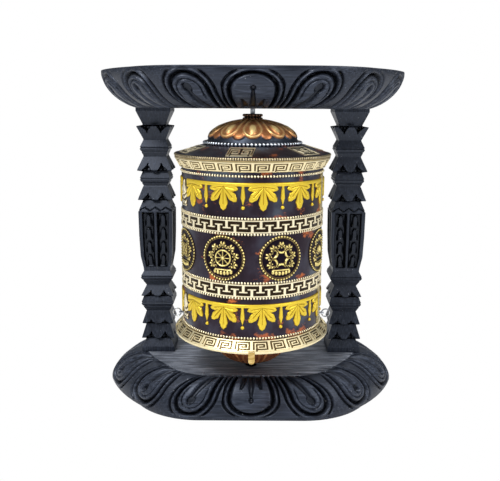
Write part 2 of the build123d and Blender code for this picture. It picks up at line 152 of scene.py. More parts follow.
def stained_hardwood(name, along, flat_dust_and_sheen):
    """Hardwood stained black and waxed: cool black, brown where thin, with grain and pale wax specks; painted
    shade darkens its hollows, and flat faces carry dust with a painted sheen.
    """
    material, tree, bsdf = new_material(name)
    grain_pitch = 1 / (0.9 * MM)
    stretch = [grain_pitch] * 3
    stretch[along] = grain_pitch / 22
    grain = node(tree, "ShaderNodeTexNoise", {"Scale": 1.0, "Detail": 6.0, "Roughness": 0.62},
                 {"Vector": (mapped(tree, stretch), "Vector")})
    patches = node(tree, "ShaderNodeTexNoise", {"Scale": 1 / (26 * MM), "Detail": 3.0},
                   {"Vector": (mapped(tree, (1, 1, 1)), "Vector")})
    specks = node(tree, "ShaderNodeTexNoise", {"Scale": 1 / (1.5 * MM), "Detail": 2.0},
                  {"Vector": (mapped(tree, (1, 1, 1)), "Vector")})
    fibre = ramp(tree, grain, "Fac", [(0.34, "0f1116"), (0.5, "272b33"), (0.68, "434853")])
    warm = ramp(tree, patches, "Fac", [(0.52, "171a22"), (0.72, "2c2124")])
    tint = node(tree, "ShaderNodeMix", {"data_type": "RGBA", "blend_type": "MIX"},
                {"A": (fibre, "Color"), "B": (warm, "Color")})
    share = ramp(tree, patches, "Fac", [(0.5, "000000"), (0.75, "808080")])
    tree.links.new(share.outputs["Color"], socket(tint.inputs, "Factor"))
    depth = node(tree, "ShaderNodeAttribute", {"attribute_name": "relief"})
    # Painted shade: low relief values (carved hollows, hole walls, set-back parts of the posts) darken the
    # wood.
    shade = ramp(tree, depth, "Fac", [(0.0, "14161b"), (0.4, "7e828c"), (0.85, "f2f6ff")])
    dark = node(tree, "ShaderNodeMix", {"data_type": "RGBA", "blend_type": "MULTIPLY", "Factor": 1.0},
                {"A": (tint, "Result"), "B": (shade, "Color")})
    colour = (dark, "Result")
    # Dust and painted sheen: faces with relief 2 (the flat face) are lightened with pale grain streaks.
    if flat_dust_and_sheen:
        flat_face = node(tree, "ShaderNodeMapRange", {"From Min": 1.2, "From Max": 1.8}, {"Value": (depth, "Fac")})
        dust_and_sheen_streaks = ramp(tree, grain, "Fac", [(0.36, "2c2f36"), (0.5, "5f646e"), (0.64, "a8aeba")])
        dust_and_sheen_mix = node(tree, "ShaderNodeMix", {"data_type": "RGBA"},
                    {"Factor": (flat_face, "Result"), "A": colour, "B": (dust_and_sheen_streaks, "Color")})
        colour = (dust_and_sheen_mix, "Result")
    wax = ramp(tree, specks, "Fac", [(0.735, "000000"), (0.76, "b8bcc4")])
    flecked = node(tree, "ShaderNodeMix", {"data_type": "RGBA", "blend_type": "ADD", "Factor": 0.5},
                   {"A": colour, "B": (wax, "Color")})
    tree.links.new(socket(flecked.outputs, "Result"), bsdf.inputs["Base Color"])
    bsdf.inputs["Specular Tint"].default_value = linear("cbd5ea")
    gloss = node(tree, "ShaderNodeMapRange",
                 {"From Min": 0.3, "From Max": 0.7, "To Min": 0.32, "To Max": 0.52},
                 {"Value": (grain, "Fac")})
    tree.links.new(gloss.outputs["Result"], bsdf.inputs["Roughness"])
    bump = node(tree, "ShaderNodeBump", {"Strength": 0.5, "Distance": 0.12 * MM},
                {"Height": (grain, "Fac")})
    tree.links.new(bump.outputs["Normal"], bsdf.inputs["Normal"])
    return material


def embossed_metal(name, hollow, middle, crest, roughness, metallic, wear=0.35, grime_mm=4.0):
    """Pressed sheet whose hollows keep a dark patina and whose crests are rubbed bright; for the blued steel
    and the lotus domes the crest colour is also a painted highlight.
    """
    material, tree, bsdf = new_material(name)
    depth = node(tree, "ShaderNodeAttribute", {"attribute_name": "relief"})
    grime = node(tree, "ShaderNodeTexNoise", {"Scale": 1 / (grime_mm * MM), "Detail": 5.0, "Roughness": 0.6},
                 {"Vector": (mapped(tree, (1, 1, 1)), "Vector")})
    shift = node(tree, "ShaderNodeMath", {"operation": "MULTIPLY_ADD", 1: wear, 2: -wear / 2},
                 {0: (grime, "Fac")})
    level = node(tree, "ShaderNodeMath", {"operation": "ADD"}, {0: (depth, "Fac"), 1: (shift, "Value")})
    colour = ramp(tree, level, "Value", [(0.12, hollow), (0.42, middle), (0.78, crest)])
    tree.links.new(colour.outputs["Color"], bsdf.inputs["Base Color"])
    bsdf.inputs["Metallic"].default_value = metallic
    gloss = node(tree, "ShaderNodeMapRange",
                 {"From Min": 0.3, "From Max": 0.7, "To Min": roughness + 0.1, "To Max": roughness - 0.06},
                 {"Value": (grime, "Fac")})
    tree.links.new(gloss.outputs["Result"], bsdf.inputs["Roughness"])
    fine = node(tree, "ShaderNodeTexNoise", {"Scale": 1 / (0.8 * MM), "Detail": 3.0},
                {"Vector": (mapped(tree, (1, 1, 1)), "Vector")})
    bump = node(tree, "ShaderNodeBump", {"Strength": 0.25, "Distance": 0.08 * MM}, {"Height": (fine, "Fac")})
    tree.links.new(bump.outputs["Normal"], bsdf.inputs["Normal"])
    return material


def patinated_copper(name):
    """Copper sheet darkened purple-black, with a few bright orange places where the patina is worn off."""
    material, tree, bsdf = new_material(name)
    broad = node(tree, "ShaderNodeTexNoise", {"Scale": 1 / (30 * MM), "Detail": 4.0, "Roughness": 0.55},
                 {"Vector": (mapped(tree, (1, 1, 0.7)), "Vector")})
    worn = node(tree, "ShaderNodeTexNoise", {"Scale": 1 / (17 * MM), "Detail": 6.0, "Roughness": 0.68},
                {"Vector": (mapped(tree, (1, 1, 1.5)), "Vector")})
    ground = ramp(tree, broad, "Fac",
                  [(0.32, "1a1216"), (0.46, "2b222c"), (0.58, "3a3844"), (0.7, "56606c")])
    bright = ramp(tree, worn, "Fac", [(0.57, "000000"), (0.65, "ffffff")])
    copper = ramp(tree, broad, "Fac", [(0.3, "c9703a"), (0.7, "a35a3c")])
    mix = node(tree, "ShaderNodeMix", {"data_type": "RGBA"},
               {"Factor": (bright, "Color"), "A": (ground, "Color"), "B": (copper, "Color")})
    tree.links.new(socket(mix.outputs, "Result"), bsdf.inputs["Base Color"])
    bsdf.inputs["Metallic"].default_value = 0.85
    gloss = node(tree, "ShaderNodeMapRange",
                 {"From Min": 0.3, "From Max": 0.7, "To Min": 0.26, "To Max": 0.46},
                 {"Value": (worn, "Fac")})
    tree.links.new(gloss.outputs["Result"], bsdf.inputs["Roughness"])
    bump = node(tree, "ShaderNodeBump", {"Strength": 0.3, "Distance": 0.15 * MM}, {"Height": (worn, "Fac")})
    tree.links.new(bump.outputs["Normal"], bsdf.inputs["Normal"])
    return material


def plain_metal(name, low, high, roughness, streak_mm):
    """Turned or drawn metal with a little colour and gloss variation."""
    material, tree, bsdf = new_material(name)
    noise = node(tree, "ShaderNodeTexNoise", {"Scale": 1 / (streak_mm * MM), "Detail": 4.0},
                 {"Vector": (mapped(tree, (1, 1, 4)), "Vector")})
    colour = ramp(tree, noise, "Fac", [(0.35, low), (0.65, high)])
    tree.links.new(colour.outputs["Color"], bsdf.inputs["Base Color"])
    bsdf.inputs["Metallic"].default_value = 1.0
    gloss = node(tree, "ShaderNodeMapRange", {"To Min": roughness - 0.07, "To Max": roughness + 0.1},
                 {"Value": (noise, "Fac")})
    tree.links.new(gloss.outputs["Result"], bsdf.inputs["Roughness"])
    return material


def soft_fibre(name, low, high, layer_mm):
    """Rolled paper or cotton: matt, with fine layers."""
    material, tree, bsdf = new_material(name)
    noise = node(tree, "ShaderNodeTexNoise", {"Scale": 1 / (layer_mm * MM), "Detail": 4.0},
                 {"Vector": (mapped(tree, (1, 1, 1)), "Vector")})
    colour = ramp(tree, noise, "Fac", [(0.35, low), (0.65, high)])
    tree.links.new(colour.outputs["Color"], bsdf.inputs["Base Color"])
    bsdf.inputs["Roughness"].default_value = 0.85
    bump = node(tree, "ShaderNodeBump", {"Strength": 0.3, "Distance": 0.1 * MM}, {"Height": (noise, "Fac")})
    tree.links.new(bump.outputs["Normal"], bsdf.inputs["Normal"])
    return material


CARVED_WOOD = stained_hardwood("stained_hardwood_carved", 0, True)
POST_WOOD = stained_hardwood("stained_hardwood_post", 2, False)
PATINA = patinated_copper("patinated_copper_sheet")
WHITE_GOLD = embossed_metal("pressed_pale_brass", "33291f", "9c8a66", "f4e9c8", 0.36, 1.0)
MEDALLION_BRASS = embossed_metal("pressed_yellow_brass", "1c161f", "5e4c30", "ecd98c", 0.36, 1.0)
GILT = embossed_metal("gilt_brass_ornament", "5c4412", "b8921f", "dfc23a", 0.4, 0.75, wear=0.2)
# Its pale gold crest colour is a painted highlight on the petal bulbs as well as rubbed metal.
LOTUS_COPPER = embossed_metal("raised_copper_lotus", "2a303a", "b97a4c", "ffe09a", 0.4, 0.8)
RIM_BRASS = embossed_metal("pressed_rim_brass", "5a4c34", "a8946a", "ebddb4", 0.36, 1.0)
# Its near-white crest colour is a painted highlight on the flange beads.
BLUE_STEEL = embossed_metal("dark_blued_steel", "0f1216", "4a535f", "dfe6ee", 0.3, 1.0)
FLOOR_COPPER = embossed_metal("raised_brown_copper", "1f1310", "8f5030", "dd9f66", 0.42, 0.85)
DARK_BRONZE = embossed_metal("dark_beaded_bronze", "120d0c", "352520", "8a6a55", 0.4, 0.9)
STEEL = plain_metal("drawn_steel", "8d9096", "c9ccd1", 0.3, 6)
BRASS = plain_metal("turned_brass", "a88a4c", "dcc184", 0.3, 5)
PALE_STRIP = plain_metal("pale_brass_strip", "a8935e", "efe3b8", 0.36, 1.5)
BEECH = soft_fibre("plain_beech", "b58a5c", "cfa877", 3)
PAPER = soft_fibre("rolled_paper", "d2c6a4", "e6dcc0", 1)
THREAD = soft_fibre("cotton_thread", "7a2620", "9a3a30", 0.8)


# ---------------------------------------------------------------- mesh helpers
def make_piece(name, verts, faces, body, material, replaced=(), relief=None, smooth=True):
    """A mesh from millimetre points; relief (0 hollow, 1 crest) goes with each point."""
    mesh = bpy.data.meshes.new(name)
    mesh.from_pydata((np.asarray(verts, float) * MM).tolist(), [], [list(map(int, f)) for f in faces])
    if relief is not None:
        attribute = mesh.attributes.new("relief", "FLOAT", "POINT")
        attribute.data.foreach_set("value", np.asarray(relief, np.float32))
    mesh.materials.append(material)
    mesh.validate()
    if smooth:
        mesh.shade_smooth()
    piece = bpy.data.objects.new(name, mesh)
    bpy.context.scene.collection.objects.link(piece)
    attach(piece, body)
    if replaced:
        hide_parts(*replaced)
    return piece


def grid_faces(rows, cols, wrap_rows=False, wrap_cols=True):
    """Quads of a rows by cols grid of points, with its normal along rows x cols reversed."""
    r = np.arange(rows if wrap_rows else rows - 1)[:, None]
    c = np.arange(cols if wrap_cols else cols - 1)[None, :]
    here = r * cols
    above = ((r + 1) % rows) * cols
    right = (c + 1) % cols
    return np.stack([here + c, here + right, above + right, above + c], -1).reshape(-1, 4)


def joined(parts):
    """Join (points, faces, relief) lists into one."""
    points, faces, relief, start = [], [], [], 0
    for part_points, part_faces, part_relief in parts:
        points.append(part_points)
        faces += [[int(i) + start for i in face] for face in part_faces]
        relief.append(part_relief)
        start += len(part_points)
    return np.concatenate(points), faces, np.concatenate(relief)


def polar(angle, radius, z):
    """Points round the wheel's axis; angle in radians."""
    return np.stack([AXIS_X + radius * np.cos(angle), AXIS_Y + radius * np.sin(angle), z + 0 * angle], -1)


def step(x, low, high):
    """Smooth rise from 0 at low to 1 at high."""
    t = np.clip((x - low) / (high - low), 0, 1)
    return t * t * (3 - 2 * t)


def groove(distance, width):
    """1 at the middle of a cut, 0 outside it."""
    return np.clip(1 - np.abs(distance) / (width / 2), 0, 1) ** 1.3


# ---------------------------------------------------------------- boards
def arc_points(a, b, bulge, count):
    """Points of the arc from a to b that stands bulge outside its chord, without b."""
    a, b = np.array(a, float), np.array(b, float)
    chord = b - a
    length = np.hypot(*chord)
    radius = (length ** 2 / 4 + bulge ** 2) / (2 * bulge)
    normal = np.array([-chord[1], chord[0]]) / length
    middle = (a + b) / 2 + normal * (bulge - radius)
    start = atan2(*(a - middle)[::-1])
    end = atan2(*(b - middle)[::-1])
    angles = np.linspace(start, end, count, endpoint=False)
    return middle + radius * np.stack([np.cos(angles), np.sin(angles)], -1)


def quarter_outline():
    """Back right quarter of a board's outline, from the middle of the back to the tip."""
    corner_run = SHOULDER[0] - STRAIGHT_HALF
    corner_drop = HALF_DEPTH - SHOULDER[1]
    corner_radius = (corner_run ** 2 + corner_drop ** 2) / (2 * corner_drop)
    corner_bulge = corner_radius - sqrt(corner_radius ** 2 - (corner_run ** 2 + corner_drop ** 2) / 4)
    straight = np.linspace((0, HALF_DEPTH), (STRAIGHT_HALF, HALF_DEPTH), 60, endpoint=False)
    corner = arc_points((STRAIGHT_HALF, HALF_DEPTH), SHOULDER, corner_bulge, 90)
    side = arc_points(SHOULDER, (HALF_LENGTH, 0), SIDE_BULGE, 90)
    points = np.concatenate([straight, corner, side])
    reach = HALF_LENGTH - TIP_ROUND * 0.06
    blend = np.clip(1 - points[:, 1] / TIP_ROUND, 0, 1) ** 2
    points[:, 0] = np.minimum(points[:, 0], reach - 0.3 * blend)
    return np.concatenate([points, [(reach - 0.3, 0)]])


def board_outline(count):
    """Evenly spaced points round the board, counter-clockwise from the middle of the front."""
    quarter = quarter_outline()
    right_front = quarter * (1, -1)
    half = np.concatenate([right_front, quarter[::-1][1:]])
    loop = np.concatenate([half[:-1], (half * (-1, 1))[::-1]])
    lengths = np.concatenate([[0], np.cumsum(np.hypot(*np.diff(loop, axis=0).T))])
    places = np.linspace(0, lengths[-1], count, endpoint=False)
    return np.stack([np.interp(places, lengths, loop[:, i]) for i in (0, 1)], -1), places, lengths[-1]


def petal_carving(x, v, central, lean):
    """Depth of the lotus carving; x is from the petal's middle, v is up from the wide edge, both in mm."""
    top, middle = CARVED_HEIGHT, 15.5
    x = x + lean * (0.16 * (v - middle) + 0.021 * np.clip(v - middle, 0, None) ** 2)
    half = 16.0 if central else 12.2
    above = np.clip(v - middle, 0, None)
    ring = np.where(v < middle, np.hypot(x, (v - middle) * half / 11.4), np.abs(x) + 0.014 * above ** 2)
    edge = ring - half
    depth = 3.2 * groove(edge, 4.8) + 2.2 * groove(edge - 4.6, 3.0) * (v > 1.5)
    reach = (top - v) / 18.5
    if central:
        cuts = np.zeros_like(x)
        for turn, length in ((-1.0, 0.66), (0.0, 1.0), (1.0, 0.66)):
            off = x - turn * (5.4 + 5.5 * reach ** 2)
            width = 1.0 + 4.2 * np.clip(1 - reach / length, 0, 1)
            cuts = np.maximum(cuts, np.clip(1.5 - 1.5 * np.abs(off) / width, 0, 1) * (reach < length))
        cuts = np.maximum(cuts, np.clip(2.2 - np.hypot(x, v - 13.6), 0, 1))
    else:
        off = x - lean * (2.6 * reach ** 2 - 1.4)
        width = 2.0 + 3.6 * np.clip(1 - reach, 0, 1)
        cuts = np.clip(1.5 - 1.5 * np.abs(off) / width, 0, 1) * (reach < 1)
        cuts = np.maximum(cuts, np.clip(3.6 - np.hypot(x - lean * 0.9, v - 13.6), 0, 1))
        depth += 1.5 * groove(edge + 4.2, 1.9) * step(24 - v, 0, 5)
    depth += 2.7 * cuts * (edge < -1.0)
    crown = 1.5 * np.sqrt(np.clip(1 - (ring / half) ** 2, 0, 1))
    crown = crown + 1.0 * np.clip(1 - np.abs(edge - 2.1) / 1.6, 0, 1)
    return depth - crown


def carved_depth(s, perimeter, v):
    """Carving depth over the whole edge; s runs round the board from the middle of the front."""
    pitch = perimeter / PETALS
    index = np.round(s / pitch).astype(int) % PETALS
    x = s - np.round(s / pitch) * pitch
    scale = PETAL_PITCH / pitch
    depth = np.zeros(np.broadcast(s, v).shape)
    for number in range(PETALS):
        place = number % (PETALS // 2)
        lean = 0.0 if place == 0 else (1.0 if place <= PETALS // 4 else -1.0)
        mask = index == number
        local = petal_carving(x * scale + 0 * v, v + 0 * x, lean == 0, lean)
        depth = np.where(mask, local, depth)
    plain = step(v, 1.6, 4.2)
    return depth * plain


def cap_with_holes(ring, z, holes, up):
    """Fill a closed ring of (x, y) points at height z, leaving round holes, as (points, faces)."""
    points = [tuple(p) for p in ring]
    edges = [(i, (i + 1) % len(ring)) for i in range(len(ring))]
    for x, y, radius in holes:
        start = len(points)
        turns = [2 * pi * i / HOLE_SIDES for i in range(HOLE_SIDES)]
        points += [(x + radius * cos(turn), y + radius * sin(turn)) for turn in turns]
        edges += [(start + i, start + (i + 1) % HOLE_SIDES) for i in range(HOLE_SIDES)]
    extra = [(x, y) for x in range(-96, 97, 12) for y in range(-60, 61, 12)]
    inside = [p for p in extra if hypot(p[0] / 92, p[1] / 62) < 0.93
              and all(hypot(p[0] - x, p[1] - y) > r + 3 for x, y, r in holes)]
    made = delaunay_2d_cdt([Vector(p) for p in points + inside], edges, [], 1, 1e-5)
    flat, faces = made[0], made[2]
    keep = []
    for face in faces:
        cx = sum(flat[i][0] for i in face) / len(face)
        cy = sum(flat[i][1] for i in face) / len(face)
        if all(hypot(cx - x, cy - y) > r * 0.98 for x, y, r in holes):
            keep.append(list(face) if up else list(face)[::-1])
    return np.array([(p[0], p[1], z) for p in flat]), keep


def board_parts(count=1160, rows=66):
    """The base's carved edge, flat face, underside and holes; its flat face is up."""
    loop, places, perimeter = board_outline(count)
    curve = THICK - EDGE_FLAT
    angles = np.linspace(0, pi / 2, rows)
    rise = EDGE_FLAT + curve * np.sin(angles) ** (2 / OVOLO)
    inset = 1 - np.cos(angles) ** (2 / OVOLO)
    rise = np.concatenate([[0.0, 0.5, 1.6], rise])
    inset = np.concatenate([[0.012, 0.0, 0.0], inset])
    x = loop[None, :, 0] * (1 - END_INSET * inset[:, None] / HALF_LENGTH)
    y = loop[None, :, 1] * (1 - FRONT_INSET * inset[:, None] / HALF_DEPTH)
    z = rise[:, None] + 0 * x
    surface = np.stack([x, y, z], -1)
    run = FRONT_INSET * 1.25 * inset
    v = np.concatenate([[0], np.cumsum(np.hypot(np.diff(run), np.diff(rise)))])
    v = v * CARVED_HEIGHT / v[-1]
    depth = carved_depth(places[None, :], perimeter, v[:, None] + 0 * x)
    around = np.roll(surface, -1, 1) - np.roll(surface, 1, 1)
    upward = np.gradient(surface, axis=0)
    normal = np.cross(around, upward)
    normal /= np.linalg.norm(normal, axis=-1, keepdims=True)
    fade = np.ones(len(v))
    fade[-1] = 0.75
    surface = surface - normal * (depth * fade[:, None])[..., None]
    surface[..., 2] = np.clip(surface[..., 2], 0, THICK - 0.02)
    # Painted shade: deeper carving gets a lower relief value, which the wood material renders darker.
    relief = np.clip(0.66 - depth * 0.34, 0, 1)
    return surface, relief


def add_board(name, node_name, flat_up, holes_flat, holes_wide):
    """One carved board; holes are (x, y, radius) in its flat face and in its wide face."""
    surface, relief = board_parts()
    rows, cols = surface.shape[:2]
    edge = (surface.reshape(-1, 3), grid_faces(rows, cols), relief.ravel())
    flat_ring = surface[-1, :, :2]
    scale = 0.988
    rim = np.concatenate([surface[-1], np.column_stack([flat_ring * scale, np.full(cols, THICK)])])
    # The lip and the flat face get relief 2, which the wood material lightens with dust and a painted sheen.
    lip = (rim, grid_faces(2, cols), np.concatenate([relief[-1], np.full(cols, 2.0)]))
    parts = [edge, lip]
    top_points, top_faces = cap_with_holes(flat_ring * scale, THICK, holes_flat, True)
    parts.append((top_points, top_faces, np.full(len(top_points), 2.0)))
    low_points, low_faces = cap_with_holes(surface[0, :, :2], 0.0, holes_wide, False)
    parts.append((low_points, low_faces, np.full(len(low_points), 0.6)))
    # Painted shade: the hole walls get relief 0.3, so the wood renders darker inside the holes.
    for holes, z, depth in ((holes_flat, THICK, -1), (holes_wide, 0.0, 1)):
        for hx, hy, hr in holes:
            turn = np.linspace(0, 2 * pi, HOLE_SIDES, endpoint=False) * depth
            ring = np.stack([hx + hr * np.cos(turn), hy + hr * np.sin(turn)], -1)
            upper = np.column_stack([ring, np.full(HOLE_SIDES, z)])
            lower = np.column_stack([ring, np.full(HOLE_SIDES, z + depth * HOLE_DEPTH)])
            faces = [list(f) for f in grid_faces(2, HOLE_SIDES)]
            faces += [list(range(HOLE_SIDES, 2 * HOLE_SIDES))]
            parts.append((np.concatenate([upper, lower]), faces, np.full(2 * HOLE_SIDES, 0.3)))
    points, faces, shade = joined(parts)
    if not flat_up:
        points = points * (1, 1, -1) + (0, 0, top_high[2])
        faces = [face[::-1] for face in faces]
    piece = make_piece(name, points, faces, "stand", CARVED_WOOD, (node_name,), shade)
    weld(piece)
    piece.data.set_sharp_from_angle(angle=radians(BOARD_SHARP_ANGLE))


def weld(piece):
    """Join points that lie on each other, so that the mesh is one closed skin."""
    work = bmesh.new()
    work.from_mesh(piece.data)
    bmesh.ops.remove_doubles(work, verts=work.verts, dist=0.004 * MM)
    bmesh.ops.recalc_face_normals(work, faces=work.faces)
    work.to_mesh(piece.data)
    work.free()


def boards():
    screw_low, screw_high = node_box("base_screws")
    head = (screw_high[1] - screw_low[1]) / 2
    screw_y = (screw_high[1] + screw_low[1]) / 2
    screw_x = screw_high[0] - head
    holes = [(side * screw_x, screw_y, head + 0.1) for side in (-1, 1)]
    add_board("base_board_carved", "base_board", True, [], holes)
    add_board("top_board_carved", "top_board", False, [], holes)


# ---------------------------------------------------------------- pressed and raised metal of the wheel
FRET = ("############", ".....##.....", ".....##.....", "###..##..###", "#....##....#",
        "#..######..#", "#..........#", "#..........#", "############")
KEY = ("############", "#..........#", "#.########.#", "#.#......#.#", "#.#.####.#.#",
       "#.#.#....#.#", "#.#.######.#", "#.#........#", "###.########")
REPEATS = 28


def closed_ring(radius, z, relief, angle=None):
    """A closed ring round the wheel; rows go round its section, columns round the wheel."""
    if angle is None:
        angle = np.linspace(0, 2 * pi, radius.shape[1], endpoint=False)
    points = polar(angle + 0 * radius, radius, z)
    rows, cols = radius.shape
    shade = np.broadcast_to(relief, radius.shape)
    return points.reshape(-1, 3), grid_faces(rows, cols, wrap_rows=True), shade.ravel()


def pearls(ring_radius, z, ball, pitch, waist=0.45, along=8, around=10):
    """A closed string of beads round the wheel."""
    count = round(2 * pi * ring_radius / pitch)
    place = (np.arange(count * along) % along) / along - 0.5
    thick = np.sqrt(np.maximum(ball ** 2 - (place * pitch) ** 2, (waist * ball) ** 2))[None, :]
    turn = np.linspace(0, 2 * pi, around, endpoint=False)[:, None]
    relief = step(thick / ball, waist, 1.0) + 0 * turn
    return closed_ring(ring_radius + thick * np.cos(turn), z + thick * np.sin(turn), relief)


def turned(corners, relief, cols=360):
    """A closed ring of revolution from (radius, z) corners that go up the outside."""
    corners = np.array(corners, float)
    shade = np.array(relief, float)[:, None] + np.zeros((1, cols))
    return closed_ring(corners[:, :1] + np.zeros((1, cols)), corners[:, 1:] + np.zeros((1, cols)), shade)


def pressed(bitmap, foot, head, depth, before, after):
    """A closed band with the pattern standing proud between foot and head, both (radius, z)."""
    cells = np.tile(np.array([[c == "#" for c in row] for row in bitmap[::-1]], float), REPEATS)
    rows, cols = cells.shape
    raised = cells.repeat(2, 0).repeat(2, 1)
    across = (np.arange(rows).repeat(2) + np.tile((0.14, 0.86), rows)) / rows
    along = (np.arange(cols).repeat(2) + np.tile((0.14, 0.86), cols)) / cols
    foot, head = np.array(foot, float), np.array(head, float)
    run = head - foot
    normal = np.array([run[1], -run[0]]) / np.hypot(*run)
    base = foot + across[:, None] * run
    radius = base[:, :1] + depth * raised * normal[0]
    z = base[:, 1:] + depth * raised * normal[1]
    flat = np.ones((1, 2 * cols))
    first = np.array(before, float)
    last = np.array(after, float)
    radius = np.concatenate([first[:, :1] * flat, radius, last[:, :1] * flat])
    z = np.concatenate([first[:, 1:] * flat, z, last[:, 1:] * flat])
    relief = np.concatenate([0.8 * flat.repeat(len(first), 0), 0.06 + 0.94 * raised,
                             0.4 * flat.repeat(len(last), 0)])
    return closed_ring(radius, z, relief, 2 * pi * along)


def wheel_bands():
    for name in ("cornice_beads", "upper_band_top_beads", "upper_band_foot_beads",
                 "lower_band_top_beads", "lower_band_foot_beads", "rim_beads"):
        low, high = node_box(name)
        points, faces, relief = pearls(SHELL, (low[2] + high[2]) / 2, (high[2] - low[2]) / 2, 2.0)
        make_piece(name + "_row", points, faces, "wheel", WHITE_GOLD, (name,), relief)
    for name in ("upper_fret_band", "lower_fret_band"):
        low, high = node_box(name)
        crest = radius_of(name) - SHELL
        points, faces, relief = pressed(FRET, (SHELL + 0.1, low[2]), (SHELL + 0.1, high[2]), crest - 0.1,
                                        [(SHELL - 0.2, low[2])], [(SHELL - 0.2, high[2])])
        make_piece(name + "_pressed", points, faces, "wheel", WHITE_GOLD, (name,),
                   relief, False)
    low, high = node_box("lower_rim")
    edge = radius_of("lower_rim")
    inside = edge - 0.8
    points, faces, relief = pressed(
        KEY, (edge - 0.35, low[2] + 1.9), (SHELL + 0.5, high[2] - 0.5), 0.55,
        [(SHELL - 0.1, high[2] - 1.2), (inside, low[2] + 1.4), (inside, low[2]), (edge - 0.2, low[2]),
         (edge, low[2] + 0.3), (edge, low[2] + 1.4), (edge - 0.3, low[2] + 1.7)],
        [(SHELL + 0.4, high[2] - 0.1), (SHELL - 0.1, high[2])])
    make_piece("lower_rim_pressed", points, faces, "wheel", RIM_BRASS, ("lower_rim",),
               relief, False)
    low, high = node_box("lid_cornice")
    edge = radius_of("lid_cornice")
    points, faces, relief = pressed(
        KEY, (SHELL + 0.9, low[2] + 0.5), (edge - 0.45, high[2] - 1.0), 0.5,
        [(SHELL, high[2] - 0.1), (SHELL, low[2]), (SHELL + 0.8, low[2])],
        [(edge - 0.1, high[2] - 0.8), (edge, high[2])])
    make_piece("lid_cornice_pressed", points, faces, "wheel", RIM_BRASS, ("lid_cornice",),
               relief, False)


# ---------------------------------------------------------------- ornament laid on the shell
def blob(x, y, cx, cy, rx, ry):
    """Signed depth inside an ellipse, about in mm."""
    return (1 - np.hypot((x - cx) / rx, (y - cy) / ry)) * min(rx, ry)


def stroke(x, y, points):
    """Signed depth inside a tapering stroke through (x, y, half width) points."""
    depth = np.full(np.broadcast(x, y).shape, -9.0)
    for (ax, ay, aw), (bx, by, bw) in zip(points, points[1:]):
        dx, dy = bx - ax, by - ay
        t = np.clip(((x - ax) * dx + (y - ay) * dy) / (dx * dx + dy * dy), 0, 1)
        depth = np.maximum(depth, aw + (bw - aw) * t - np.hypot(x - ax - t * dx, y - ay - t * dy))
    return depth


def palmette(x, y):
    """Hanging lotus palmette under a narrow bar, with a drop between neighbours; 20 mm high."""
    side = np.abs(x)
    depth = stroke(x, y, [(-13, 18.2, 1.2), (13, 18.2, 1.2)])
    for tilt, length, wide in ((0, 15.6, 3.0), (42, 13.0, 2.7), (80, 9.8, 2.1)):
        tilt = radians(tilt)
        widths = ((0.1, 0.9), (0.4, wide * 0.7), (0.66, wide), (0.82, wide * 0.72), (0.94, 0.7))
        corners = [(along * length * sin(tilt), 17.0 - along * length * cos(tilt), half)
                   for along, half in widths]
        petal = stroke(side, y, corners)
        off = side * cos(tilt) - (17.0 - y) * sin(tilt)
        past = side * sin(tilt) + (17.0 - y) * cos(tilt) - length * 0.72
        depth = np.maximum(depth, np.minimum(petal, np.maximum(np.abs(off) - 0.05, past)))
    outer = MOTIF_HALF - side
    depth = np.maximum(depth, stroke(outer, y, [(0, 17.0, 0.9), (0, 10.0, 1.5), (0, 5.6, 0.2)]))
    return np.maximum(depth, blob(outer, y, 0, 3.6, 1.2, 1.2))


def lotus_flame(x, y):
    """Upright lotus with a flame; 9 mm wide, 19 mm high."""
    side = np.abs(x)
    depth = blob(x, y, 0, 13.2, 2.1, 5.4)
    depth = np.maximum(depth, stroke(side, y, [(0.6, 8.4, 0.9), (3.2, 10.6, 0.9), (3.4, 14.2, 0.25)]))
    depth = np.maximum(depth, stroke(side, y, [(0.0, 6.0, 1.4), (3.0, 6.8, 0.9), (4.1, 8.8, 0.3)]))
    depth = np.maximum(depth, stroke(side, y, [(0.0, 3.2, 1.1), (2.6, 2.6, 1.1), (4.0, 4.4, 0.4)]))
    return np.maximum(depth, stroke(side, y, [(0, 0.9, 0.8), (3.2, 0.9, 0.7)])) - 0.05


def laid_on_skin(depth, angle, z, height):
    """The part of a rows by cols ornament that stands above the shell, its edges let into the shell."""
    lift = np.clip(0.25 + depth * 1.9, -0.3, height)
    points = polar(angle, SHELL + lift, z)
    rows, cols = depth.shape
    faces = grid_faces(rows, cols, wrap_cols=False)
    faces = faces[(lift.ravel()[faces] > -0.28).any(1)]
    used, new = np.unique(faces, return_inverse=True)
    return points.reshape(-1, 3)[used], new.reshape(faces.shape), step(lift, 0.0, height).ravel()[used]


